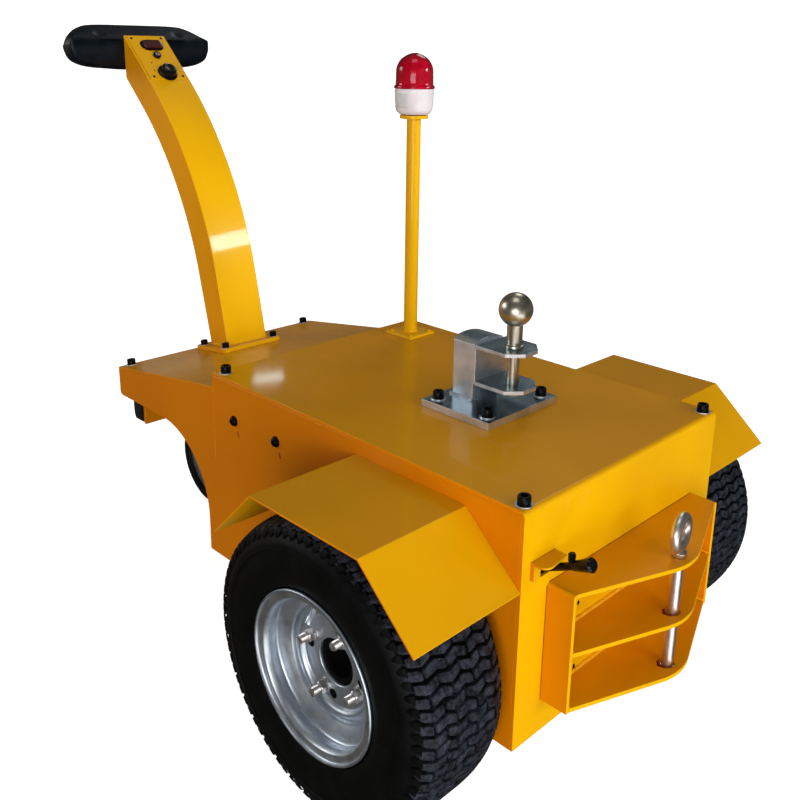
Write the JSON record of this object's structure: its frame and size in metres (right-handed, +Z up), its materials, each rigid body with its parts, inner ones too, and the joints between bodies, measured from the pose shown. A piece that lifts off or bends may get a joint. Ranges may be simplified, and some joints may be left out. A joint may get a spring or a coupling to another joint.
{
  "type": "pedestrian electric tow tug",
  "caption": "Walk-behind electric tug with two driven wheels, a rear swivel castor, a curved tiller, a deck tow ball, a front pin jaw and a beacon.",
  "frame": {"origin": "on the floor, under the middle of the whole machine's bounding box", "axes": "+X towards the pin jaw, the end that tows; +Z up; Y across the machine"},
  "size_m": [1.3492, 0.816, 0.9945],
  "materials": {
    "yellow_paint": "glossy yellow enamel over steel sheet",
    "zinc_plate": "bright zinc plating on steel",
    "yellow_zinc": "yellow passivated zinc on turned steel",
    "rim_steel": "silver galvanised pressed steel",
    "tyre_rubber": "black turf tyre rubber",
    "black_rubber": "matt black moulded rubber",
    "black_plastic": "satin black moulded plastic",
    "white_plastic": "white moulded plastic",
    "red_lens": "clear red plastic lens",
    "red_switch": "red and black switch plastic",
    "grey_cast": "dark grey painted casting",
    "battery_case": "dark grey battery cases"
  },
  "bodies": {
    "chassis": {"deck_sheet": "yellow_paint", "floor_plate": "yellow_paint", "well_wall": "yellow_paint", "tail_plate": "yellow_paint", "tail_lip": "yellow_paint", "castor_mount": "yellow_paint", "side_plate_left": "yellow_paint", "side_plate_right": "yellow_paint", "fender_left": "yellow_paint", "fender_right": "yellow_paint", "jaw_side_left": "yellow_paint", "jaw_side_right": "yellow_paint", "jaw_shelf_top": "yellow_paint", "jaw_shelf_middle": "yellow_paint", "jaw_shelf_bottom": "yellow_paint", "lever_hood": "yellow_paint", "beacon_pole": "yellow_paint", "tiller_plate": "yellow_paint", "tiller_post": "yellow_paint", "control_panel": "yellow_paint", "ball_plate": "zinc_plate", "ball_upright": "zinc_plate", "ball_clevis": "zinc_plate", "castor_plate": "zinc_plate", "tow_ball": "yellow_zinc", "rear_bumper": "black_rubber", "hand_lever": "black_plastic", "key_switch": "black_plastic", "stop_knob": "black_plastic", "handle": "black_plastic", "beacon_base": "white_plastic", "beacon_lens": "red_lens", "rocker_switch": "red_switch", "drive_axle": "grey_cast", "battery_block": "battery_case"},
    "drive_wheel_left": {"tyre_left": "tyre_rubber", "rim_left": "rim_steel", "hub_left": "grey_cast"},
    "drive_wheel_right": {"tyre_right": "tyre_rubber", "rim_right": "rim_steel", "hub_right": "grey_cast"},
    "castor_fork": {"castor_fork": "zinc_plate"},
    "castor_wheel": {"castor_wheel": "black_plastic", "castor_tyre": "black_rubber"},
    "hitch_pin": {"hitch_pin": "zinc_plate"}
  },
  "joints": [
    {"name": "drive_wheel_left_roll", "type": "hinge", "parent": "chassis", "child": "drive_wheel_left", "pos_m": [0.38143, 0.323, 0.203], "axis": [0, 1, 0], "continuous": true},
    {"name": "drive_wheel_right_roll", "type": "hinge", "parent": "chassis", "child": "drive_wheel_right", "pos_m": [0.38143, -0.323, 0.203], "axis": [0, 1, 0], "continuous": true},
    {"name": "castor_swivel", "type": "hinge", "parent": "chassis", "child": "castor_fork", "pos_m": [-0.36357, 0, 0.22], "axis": [0, 0, 1], "continuous": true},
    {"name": "castor_roll", "type": "hinge", "parent": "castor_fork", "child": "castor_wheel", "pos_m": [-0.42357, 0, 0.1], "axis": [0, 1, 0], "continuous": true},
    {"name": "hitch_pin_lift", "type": "slide", "parent": "chassis", "child": "hitch_pin", "axis": [0, 0, 1], "range_m": [0, 0.19]}
  ]
}
